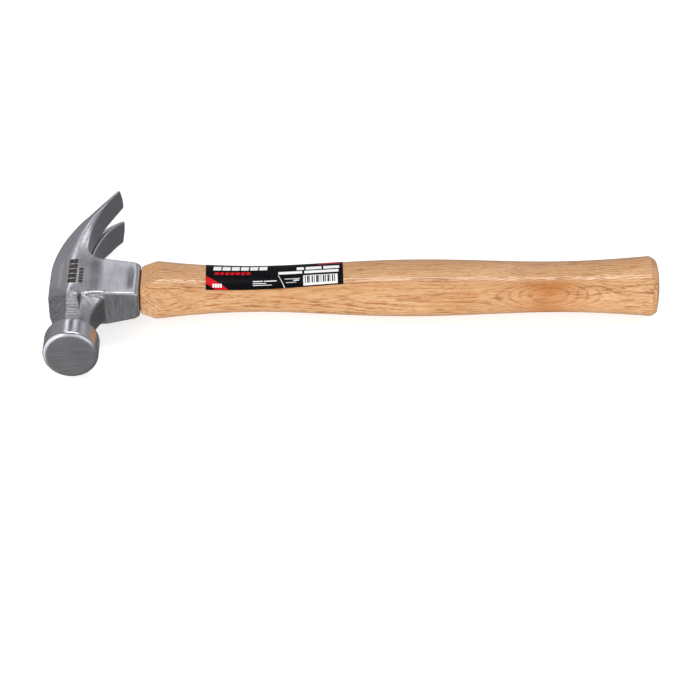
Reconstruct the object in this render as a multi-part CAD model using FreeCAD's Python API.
# Rip claw hammer, 16 oz class: a forged adze-eye steel head wedged on a shaped wooden handle.
#
# Working frame, in millimetres: X runs along the handle towards the butt, -Y is where the striking
# face looks, +Y is where the claw reaches, Z is square to the cheeks. X = 0 is the axis of the poll,
# Y = 0 and Z = 0 are the axis of the handle. The hammer lies on its side, and everything is moved at
# the end so that the origin is the bottom centre of the whole hammer's box.
import FreeCAD
import Part
import math
import os

Vector = FreeCAD.Vector

# Head: poll and face
FACE_Y = -56.5            # striking face
POLL_RADIUS = 14.6
FACE_CHAMFER = 1.3
POLL_BACK_Y = -43.2       # where the poll's cylinder ends
POLL_CONE_Y = -39.5       # where its back cone meets the neck
POLL_CONE_RADIUS = 10.5

# Head: neck, ground hollow along its length. Each corner of its +Z half is given where it leaves the
# poll, at its waist and where it runs out inside the eye block: X and Z away from the poll's axis.
NECK_Y = (-45.0, -36.5, -9.5)
NECK_TOP_EDGE = ((-12.4, 6.2), (-10.6, 6.2), (-16.9, 7.4))
NECK_TOP_FLAT = ((-3.8, 10.9), (-3.5, 10.3), (-5.0, 11.6))
NECK_RIDGE = ((3.3, 10.9), (3.2, 10.3), (-1.9, 11.6))
NECK_VALLEY = ((3.7, 10.8), (3.5, 10.2), (3.7, 9.0))
NECK_GRIP_FLAT = ((4.1, 10.7), (3.9, 10.2), (5.7, 10.9))
NECK_GRIP_EDGE = ((10.8, 6.8), (9.3, 6.8), (20.5, 8.2))

# Head: eye block and socket
TOP_X = -14.3             # top of the head, where the handle's end shows
SOCKET_X = 33.7           # end of the socket
SOCKET_FRONT_Y = -14.1
SOCKET_REAR_Y = 13.3
REAR_WALL_Y = 13.8        # rear wall where it leaves the claw's throat
NECK_ROOT_Y = -9.8        # where the neck's hollow runs out at the top of the head
FRONT_WALL_Y = -17.9      # front wall where it meets the neck
FRONT_WALL_X = 4.0
SOCKET_CHAMFER = 2.3      # length of the bevelled lip round the socket's end
SOCKET_CHAMFER_SLOPE = 0.28      # on the cheeks
SOCKET_CHAMFER_END_SLOPE = 0.13  # on the front and rear walls
SOCKET_HALF_WIDTH = 8.2
CHEEK_HALF_WIDTH = 11.4
CHEEK_BEND_X = 10.5       # where the cheek starts to narrow towards the socket's end

# Head: claw
CLAW_BEND_Y = 4.5         # where the top of the head starts to curve into the claw
CLAW_ROOT_RADIUS = 54.0
CLAW_ROOT_TURN = math.radians(31.0)
CLAW_TIP_RADIUS = 340.0
CLAW_TIP_TURN = math.radians(7.8)
CLAW_TIP_THICKNESS = 1.6
CLAW_THROAT_X = 5.2       # underside of the claw at its root
CLAW_UNDERSIDE_RADIUS = 84.0
THROAT_RADIUS = 8.0
CLAW_END_RADIUS = 62.0    # the tips' ends follow this circle, seen along the handle

# Sides of the block and claw, by Y: half width, X of the shoulder line where that width is reached,
# and how much narrower the outer face is
SIDE_STATIONS = (
    (-30.0, 11.4, -3.5, 3.0),
    (-15.0, 11.4, -3.5, 3.0),
    (-3.0, 11.4, -3.6, 3.0),
    (8.0, 11.4, -3.4, 3.0),
    (23.0, 12.9, -1.3, 2.9),
    (34.0, 15.1, 2.3, 2.5),
    (47.0, 16.9, 8.3, 2.3),
    (60.0, 17.7, 15.2, 2.0),
    (80.0, 17.9, 27.0, 1.5),
)

# Nail slot, by Y: half gap at the claw's outer face, and half gap gained per millimetre inward
SLOT_STATIONS = (
    (25.0, 0.9, 0.06),
    (45.0, 0.9, 0.08),
    (54.0, 1.0, 0.22),
    (62.0, 1.9, 0.35),
    (70.5, 4.5, 0.35),
    (76.0, 6.8, 0.35),
)

# Eye, a tapered hole along the handle's axis: half depth, half width, corner radius
EYE_TOP = (12.6, 6.9, 4.2)
EYE_WAIST = (11.5, 5.7, 4.0)
EYE_SOCKET = (11.7, 6.0, 4.2)
EYE_WAIST_X = 8.0

# Handle: distance from the poll's axis, half depth along Y, half thickness along Z
HANDLE_STATIONS = (
    (33.0, 17.1, 12.9),
    (45.0, 17.1, 12.9),
    (57.0, 15.8, 11.9),
    (72.0, 14.6, 11.0),
    (98.0, 13.9, 10.4),
    (127.0, 15.1, 11.3),
    (158.0, 16.8, 12.6),
    (190.0, 17.2, 12.9),
    (224.0, 16.1, 12.1),
    (256.0, 15.4, 11.6),
    (282.0, 16.3, 12.3),
    (303.0, 17.9, 13.6),
    (316.0, 18.9, 14.4),
)
SECTION_POWER = 2.25      # 2 is an ellipse, more is squarer
SECTION_POINTS = 24
BUTT_X = 310.6
BUTT_CROWN_RADIUS = 62.0
BUTT_BAND_DEPTH = 2.6     # the sloping band round the butt's end: how far it comes in
BUTT_BAND_LENGTH = 4.5    # and how long it is along X
SHOULDER_X = 34.1         # the shoulder stands just off the socket
SHOULDER_HALF_DEPTH = 13.0
SHOULDER_HALF_WIDTH = 8.7
SHOULDER_DEPTH_SLOPE = math.radians(19.0)
SHOULDER_WIDTH_SLOPE = math.radians(21.5)
SHOULDER_CORNER_REACH = 12.3
SHOULDER_CORNER_SLOPE = math.radians(19.0)
TENON_SUNK = 0.3          # the tenon's end lies this far below the top of the head

# Wedges: thick end, depth driven
KERF_HALF_WIDTH = 0.6
KERF_DEPTH = 31.0
WOOD_WEDGE_LENGTH = 26.0
WOOD_WEDGE_HALF_WIDTH = 12.1
WOOD_WEDGE_THICK = 4.6
WOOD_WEDGE_THIN = 1.2
STEEL_WEDGE_LENGTH = 17.0
STEEL_WEDGE_WIDTH = 10.4
STEEL_WEDGE_THICK = 2.6
STEEL_WEDGE_THIN = 0.7
STEEL_WEDGE_Y = 6.2       # either side of the handle's axis
STEEL_WEDGE_SUNK = 0.25

# Paper label on the +Z side of the handle
LABEL_X = (68.8, 141.8)
LABEL_Y = (-10.3, 12.0)
LABEL_TILT = 1.2          # degrees
LABEL_THICKNESS = 0.15


def wire(points):
    """A closed polygon."""
    return Part.makePolygon(list(points) + [points[0]])


def loft(wires, ruled=False):
    return Part.makeLoft(wires, True, ruled)


def circular_rise(distance, radius):
    """How far a circle of this radius has left its tangent after this distance."""
    return radius - math.sqrt(radius * radius - distance * distance)


# ---------------------------------------------------------------- head


def claw_outer_point(turn):
    """Point on the claw's outer curve, in XY, where its heading has turned by this angle from +Y."""
    bend = min(turn, CLAW_ROOT_TURN)
    x = TOP_X + CLAW_ROOT_RADIUS * (1.0 - math.cos(bend))
    y = CLAW_BEND_Y + CLAW_ROOT_RADIUS * math.sin(bend)
    if turn > CLAW_ROOT_TURN:
        x += CLAW_TIP_RADIUS * (math.cos(CLAW_ROOT_TURN) - math.cos(turn))
        y += CLAW_TIP_RADIUS * (math.sin(turn) - math.sin(CLAW_ROOT_TURN))
    return Vector(x, y, 0)


def claw_outer_x(y):
    """X of the outer curve at this Y; it is straight up to CLAW_BEND_Y."""
    if y <= CLAW_BEND_Y:
        return TOP_X
    sine = (y - CLAW_BEND_Y) / CLAW_ROOT_RADIUS
    if sine <= math.sin(CLAW_ROOT_TURN):
        return claw_outer_point(math.asin(sine)).x
    past_root = y - claw_outer_point(CLAW_ROOT_TURN).y
    turn = math.asin(math.sin(CLAW_ROOT_TURN) + past_root / CLAW_TIP_RADIUS)
    return claw_outer_point(turn).x


def head_side_profile():
    """Outline of the eye block, socket and claw seen along Z."""
    tip_turn = CLAW_ROOT_TURN + CLAW_TIP_TURN
    bend = Vector(TOP_X, CLAW_BEND_Y, 0)
    root_end = claw_outer_point(CLAW_ROOT_TURN)
    tip = claw_outer_point(tip_turn)
    inward = Vector(math.cos(tip_turn), -math.sin(tip_turn), 0)
    tip_inner = tip + inward * CLAW_TIP_THICKNESS
    throat = Vector(CLAW_THROAT_X, REAR_WALL_Y + THROAT_RADIUS, 0)
    chord = tip_inner - throat
    middle = throat + chord * 0.5
    side = Vector(-chord.y, chord.x, 0).normalize()
    bow = circular_rise(chord.Length / 2.0, CLAW_UNDERSIDE_RADIUS)
    throat_foot = Vector(CLAW_THROAT_X + THROAT_RADIUS, REAR_WALL_Y, 0)
    throat_middle = Vector(
        CLAW_THROAT_X + THROAT_RADIUS * (1 - math.cos(math.pi / 4)),
        REAR_WALL_Y + THROAT_RADIUS * (1 - math.sin(math.pi / 4)),
        0,
    )
    front = Vector(FRONT_WALL_X, FRONT_WALL_Y, 0)
    edges = [
        Part.LineSegment(Vector(TOP_X, NECK_ROOT_Y, 0), bend),
        Part.Arc(bend, claw_outer_point(CLAW_ROOT_TURN / 2), root_end),
        Part.Arc(root_end, claw_outer_point((CLAW_ROOT_TURN + tip_turn) / 2), tip),
        Part.LineSegment(tip, tip_inner),
        Part.Arc(tip_inner, middle + side * bow, throat),
        Part.Arc(throat, throat_middle, throat_foot),
        Part.LineSegment(throat_foot, Vector(SOCKET_X, SOCKET_REAR_Y, 0)),
        Part.LineSegment(Vector(SOCKET_X, SOCKET_REAR_Y, 0), Vector(SOCKET_X, SOCKET_FRONT_Y, 0)),
        Part.LineSegment(Vector(SOCKET_X, SOCKET_FRONT_Y, 0), front),
        Part.LineSegment(front, Vector(TOP_X, NECK_ROOT_Y, 0)),
    ]
    return Part.Wire([edge.toShape() for edge in edges])


def side_section(y, half_width, shoulder_x, drop):
    """Outline, in the XZ plane at this Y, of what the side surfaces of the block and claw enclose."""
    outer_x = claw_outer_x(y)
    beyond = 4.0
    bevel = drop / (shoulder_x - outer_x)
    taper = (CHEEK_HALF_WIDTH - SOCKET_HALF_WIDTH) / (SOCKET_X - CHEEK_BEND_X)
    bend_x = max(CHEEK_BEND_X, shoulder_x + 6.0)
    end_x = max(SOCKET_X, bend_x) + beyond
    half = [
        (outer_x - beyond, half_width - drop - bevel * beyond),
        (shoulder_x, half_width),
        (bend_x, half_width),
        (end_x, half_width - taper * (end_x - bend_x)),
    ]
    points = [Vector(x, y, z) for x, z in half] + [Vector(x, y, -z) for x, z in reversed(half)]
    return wire(points)


def head_sides():
    """All that lies between the head's two sides, from mid-neck to past the claw's tips."""
    return loft([side_section(*station) for station in SIDE_STATIONS])


def hollow(y, poll_end, waist, eye_end):
    """A value along the neck: least at the waist, growing with the square of the way to either end."""
    low, middle, high = NECK_Y
    end, reach = (poll_end, low - middle) if y < middle else (eye_end, high - middle)
    return waist + (end - waist) * ((y - middle) / reach) ** 2


def neck_section(y):
    """The neck's outline at this Y."""
    half = []
    for ends in (
        NECK_TOP_EDGE,
        NECK_TOP_FLAT,
        NECK_RIDGE,
        NECK_VALLEY,
        NECK_GRIP_FLAT,
        NECK_GRIP_EDGE,
    ):
        half.append((hollow(y, *[end[0] for end in ends]), hollow(y, *[end[1] for end in ends])))
    return wire([Vector(x, y, z) for x, z in half] + [Vector(x, y, -z) for x, z in reversed(half)])


def neck():
    """The neck, cut off flush with the top of the head."""
    steps = 12
    low, high = NECK_Y[0], NECK_Y[2]
    body = loft([neck_section(low + (high - low) * i / steps) for i in range(steps + 1)])
    below_top = Part.makeBox(60, 60, 60, Vector(TOP_X, low - 5, -30))
    return body.common(below_top)


def head_core():
    """Neck, eye block, socket and claw in one forging, before the slot and the eye are cut."""
    reach = 25.0
    side = Part.Face(head_side_profile())
    side.translate(Vector(0, 0, -reach))
    block = side.extrude(Vector(0, 0, 2 * reach))
    shank = neck()
    core = block.fuse(shank).common(head_sides())
    tip_y = claw_outer_point(CLAW_ROOT_TURN + CLAW_TIP_TURN).y
    ends = Part.makeCylinder(
        CLAW_END_RADIUS, 120.0, Vector(-60, tip_y - CLAW_END_RADIUS, 0), Vector(1, 0, 0)
    )
    front = Part.makeBox(80, 30, 80, Vector(-40, NECK_Y[0] - 5, -40))
    return core.common(ends).fuse(shank.common(front))


def claw_slot():
    """The nail slot: a V that widens towards the tips and towards the claw's inner face."""
    sections = []
    below, above = 3.0, 26.0
    for y, gap, flare in SLOT_STATIONS:
        outer_x = claw_outer_x(y)
        corners = [(outer_x - below, gap - flare * below), (outer_x + above, gap + flare * above)]
        corners += [(x, -z) for x, z in reversed(corners)]
        sections.append(wire([Vector(x, y, z) for x, z in corners]))
    return loft(sections)


def poll():
    """The round striking end, turned about the head's axis, with its face chamfer and back cone."""
    outline = [
        (0, FACE_Y),
        (POLL_RADIUS - FACE_CHAMFER, FACE_Y),
        (POLL_RADIUS, FACE_Y + FACE_CHAMFER),
        (POLL_RADIUS, POLL_BACK_Y),
        (POLL_CONE_RADIUS, POLL_CONE_Y),
        (0, POLL_CONE_Y),
    ]
    face = Part.Face(wire([Vector(x, y, 0) for x, y in outline]))
    return face.revolve(Vector(0, 0, 0), Vector(0, 1, 0), 360)


def rounded_rectangle(x, half_y, half_z, radius):
    """A closed wire in the plane at this X."""
    turn = math.cos(math.pi / 4)
    edges = []
    corners = ((1, 1), (-1, 1), (-1, -1), (1, -1))
    for i, (sy, sz) in enumerate(corners):
        centre = Vector(x, sy * (half_y - radius), sz * (half_z - radius))
        along_y = centre + Vector(0, sy * radius, 0)
        along_z = centre + Vector(0, 0, sz * radius)
        middle = centre + Vector(0, sy * radius * turn, sz * radius * turn)
        first, last = (along_y, along_z) if i % 2 == 0 else (along_z, along_y)
        edges.append(Part.Arc(first, middle, last))
    wires = []
    for i, arc in enumerate(edges):
        following = edges[(i + 1) % 4]
        wires += [arc.toShape(), Part.LineSegment(arc.EndPoint, following.StartPoint).toShape()]
    return Part.Wire(wires)


def eye(low_x, high_x):
    """The eye's space, which is also the tenon's shape, from low_x to high_x."""
    bound = Part.makeBox(high_x - low_x, 80, 80, Vector(low_x, -40, -40))
    upper = loft(
        [rounded_rectangle(TOP_X - 4, *EYE_TOP), rounded_rectangle(EYE_WAIST_X, *EYE_WAIST)], True
    )
    lower = loft(
        [rounded_rectangle(EYE_WAIST_X, *EYE_WAIST), rounded_rectangle(SOCKET_X + 6, *EYE_SOCKET)],
        True,
    )
    return upper.fuse(lower).common(bound)


def socket_chamfer():
    """What the chamfer round the socket's end removes: all that lies outside a short frustum."""
    near_x = SOCKET_X - SOCKET_CHAMFER
    outer = Part.makeBox(10, 60, 60, Vector(near_x, -30, -30))
    sections = []
    for x in (near_x, SOCKET_X + 4):
        inset = SOCKET_CHAMFER_SLOPE * (x - near_x)
        end_inset = SOCKET_CHAMFER_END_SLOPE * (x - near_x)
        corner = 0.3 + inset
        low, high = SOCKET_FRONT_Y - 0.3 + end_inset, SOCKET_REAR_Y + 0.06 - end_inset
        width = SOCKET_HALF_WIDTH + 0.32 - inset
        loop = [
            (low, width - corner),
            (low + corner, width),
            (high - corner, width),
            (high, width - corner),
        ]
        loop += [(y, -z) for y, z in reversed(loop)]
        sections.append(wire([Vector(x, y, z) for y, z in loop]))
    return outer.cut(loft(sections, True))


def head():
    body = head_core().cut(claw_slot()).cut(socket_chamfer())
    body = body.fuse(poll()).removeSplitter()
    return body.cut(eye(TOP_X - 3, SOCKET_X + 5))


# ---------------------------------------------------------------- handle


def oval(x, half_depth, half_thickness):
    """A superellipse in the plane at this X."""
    points = []
    for i in range(SECTION_POINTS):
        angle = 2 * math.pi * i / SECTION_POINTS
        c, s = math.cos(angle), math.sin(angle)
        radius = (abs(c) ** SECTION_POWER + abs(s) ** SECTION_POWER) ** (-1 / SECTION_POWER)
        points.append(Vector(x, half_depth * radius * c, half_thickness * radius * s))
    curve = Part.BSplineCurve()
    curve.interpolate(points, PeriodicFlag=True)
    return Part.Wire(curve.toShape())


def grip_body(grow=0.0):
    """The shaped handle without its tenon, shoulder cuts or crowned end, grown all round by grow."""
    return loft([oval(x, a + grow, b + grow) for x, a, b in HANDLE_STATIONS])


def shoulder_cut(direction, reach, slope):
    """A block whose sloping face pares the shoulder down to reach in this direction of the YZ plane."""
    size = 60.0
    block = Part.makeBox(size, size, size, Vector(-10, -size / 2, 0))
    block.rotate(Vector(0, 0, 0), Vector(0, 1, 0), -math.degrees(slope))
    block.translate(Vector(0, 0, reach))
    angle = math.degrees(math.atan2(direction[1], direction[0])) - 90.0
    block.rotate(Vector(0, 0, 0), Vector(1, 0, 0), angle)
    block.translate(Vector(SHOULDER_X, 0, 0))
    return block


def shoulder_cuts():
    cuts = [shoulder_cut((0, s), SHOULDER_HALF_WIDTH, SHOULDER_WIDTH_SLOPE) for s in (1, -1)]
    cuts += [shoulder_cut((s, 0), SHOULDER_HALF_DEPTH, SHOULDER_DEPTH_SLOPE) for s in (1, -1)]
    diagonal = (0.56, 0.83)
    for sy in (1, -1):
        for sz in (1, -1):
            direction = (sy * diagonal[0], sz * diagonal[1])
            cuts.append(shoulder_cut(direction, SHOULDER_CORNER_REACH, SHOULDER_CORNER_SLOPE))
    return cuts


def butt_band():
    """Everything inside the sloping band round the butt's end."""
    _, depth, thickness = HANDLE_STATIONS[-2]
    far_grow = BUTT_BAND_DEPTH * 8
    sections = [oval(SHOULDER_X - 5, depth + far_grow, thickness + far_grow)]
    for lengths in (9, -1):
        grow = BUTT_BAND_DEPTH * (lengths - 1)
        sections.append(oval(BUTT_X - BUTT_BAND_LENGTH * lengths, depth + grow, thickness + grow))
    return loft(sections, True)


def handle_blank():
    """The handle with tenon, shoulder and crowned butt, before the wedges are driven."""
    length = BUTT_X - SHOULDER_X
    bound = Part.makeBox(length + 5, 80, 80, Vector(SHOULDER_X, -40, -40))
    crown = Part.makeSphere(BUTT_CROWN_RADIUS)
    crown.translate(Vector(BUTT_X - BUTT_CROWN_RADIUS, 0, 0))
    rod = Part.makeCylinder(
        BUTT_CROWN_RADIUS, BUTT_X - BUTT_CROWN_RADIUS, Vector(0, 0, 0), Vector(1, 0, 0)
    )
    body = grip_body().common(bound).common(crown.fuse(rod)).common(butt_band())
    for cut in shoulder_cuts():
        body = body.cut(cut)
    return body.fuse(eye(TOP_X + TENON_SUNK, SHOULDER_X + 2))


def wedge(length, width, thick, thin, top_x):
    """A wedge driven along +X: width runs along Y, thickness along Z."""
    sections = []
    for x, t in ((top_x, thick / 2), (top_x + length, thin / 2)):
        half = width / 2
        loop = [(half, t), (-half, t), (-half, -t), (half, -t)]
        sections.append(wire([Vector(x, y, z) for y, z in loop]))
    return loft(sections, True)


def steel_wedge(side):
    blade = wedge(
        STEEL_WEDGE_LENGTH,
        STEEL_WEDGE_WIDTH,
        STEEL_WEDGE_THICK,
        STEEL_WEDGE_THIN,
        TOP_X + TENON_SUNK + STEEL_WEDGE_SUNK,
    )
    blade.rotate(Vector(0, 0, 0), Vector(1, 0, 0), 90)
    blade.translate(Vector(0, side * STEEL_WEDGE_Y, 0))
    return blade


def driven_space(blade):
    """The wedge and the short hole above it that its sunk top leaves."""
    box = blade.BoundBox
    sunk = STEEL_WEDGE_SUNK + 1
    hole = Part.makeBox(sunk, box.YLength, box.ZLength, Vector(box.XMin - sunk, box.YMin, box.ZMin))
    return blade.fuse(hole)


def label():
    """A thin sheet stuck to the handle's +Z side."""
    area = Part.makeBox(
        LABEL_X[1] - LABEL_X[0], LABEL_Y[1] - LABEL_Y[0], 40, Vector(LABEL_X[0], LABEL_Y[0], 0)
    )
    area.rotate(Vector(sum(LABEL_X) / 2, 0, 0), Vector(0, 0, 1), LABEL_TILT)
    return grip_body(LABEL_THICKNESS).common(area).cut(grip_body())


def build():
    steel = {"steel_wedge_front": steel_wedge(-1), "steel_wedge_rear": steel_wedge(1)}
    wood_wedge = wedge(
        WOOD_WEDGE_LENGTH,
        2 * WOOD_WEDGE_HALF_WIDTH,
        WOOD_WEDGE_THICK,
        WOOD_WEDGE_THIN,
        TOP_X + TENON_SUNK,
    ).common(eye(TOP_X - 3, SOCKET_X))
    kerf = Part.makeBox(
        KERF_DEPTH, 60, 2 * KERF_HALF_WIDTH, Vector(TOP_X - 1, -30, -KERF_HALF_WIDTH)
    )
    handle = handle_blank().cut(kerf).cut(wood_wedge)
    for blade in steel.values():
        handle = handle.cut(driven_space(blade))
        wood_wedge = wood_wedge.cut(driven_space(blade))
    return {
        "head": head(),
        "handle": handle,
        "wood_wedge": wood_wedge,
        "label": label(),
        **steel,
    }


def main():
    parts = build()
    box = FreeCAD.BoundBox()
    for shape in parts.values():
        box.add(shape.optimalBoundingBox())
    shift = Vector(-box.Center.x, -box.Center.y, -box.ZMin)
    print("shift to the hammer's frame:", shift, "size:", box.XLength, box.YLength, box.ZLength)
    os.makedirs("parts", exist_ok=True)
    for name, shape in parts.items():
        shape.translate(shift)
        solids = len(shape.Solids)
        print(name, "solids", solids, "valid", shape.isValid(), "cm3", round(shape.Volume / 1000, 2))
        shape.exportStep("parts/" + name + ".step")


main()
